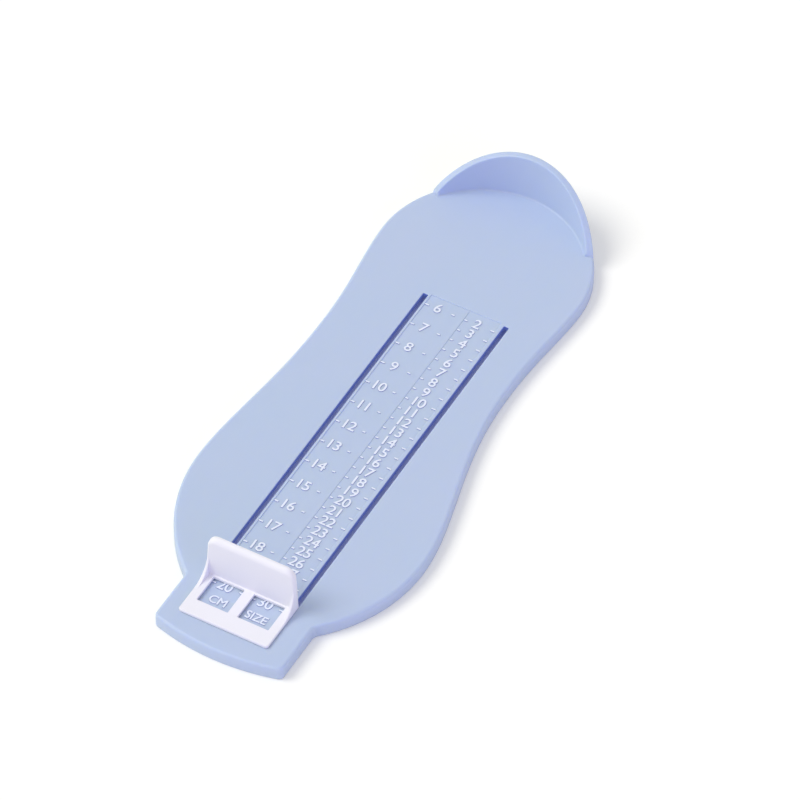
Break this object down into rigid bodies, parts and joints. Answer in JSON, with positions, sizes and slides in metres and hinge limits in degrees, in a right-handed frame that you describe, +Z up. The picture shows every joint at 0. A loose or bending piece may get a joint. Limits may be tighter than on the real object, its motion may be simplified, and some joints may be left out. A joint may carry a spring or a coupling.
{
  "type": "foot measuring gauge",
  "caption": "Flat moulded gauge that measures foot length: a heel cup at one end, a centimetre scale between guide slots, and a sliding toe stop with reading windows.",
  "frame": {"origin": "middle of the gauge's box at table level", "axes": "+Y along the scale towards the heel cup, +Z up from the table, +X to the right as seen from the toe end"},
  "size_m": [0.0878, 0.2272, 0.0237],
  "materials": {
    "plate_plastic": "satin moulded",
    "slider_plastic": "satin moulded",
    "retainer_plastic": "satin moulded"
  },
  "bodies": {
    "plate": {"gauge_plate": "plate_plastic"},
    "slider": {"toe_slider": "slider_plastic", "slider_retainer": "retainer_plastic"}
  },
  "joints": [
    {"name": "toe_slide", "type": "slide", "parent": "plate", "child": "slider", "axis": [0, 1, 0], "range_m": [0, 0.141]}
  ]
}
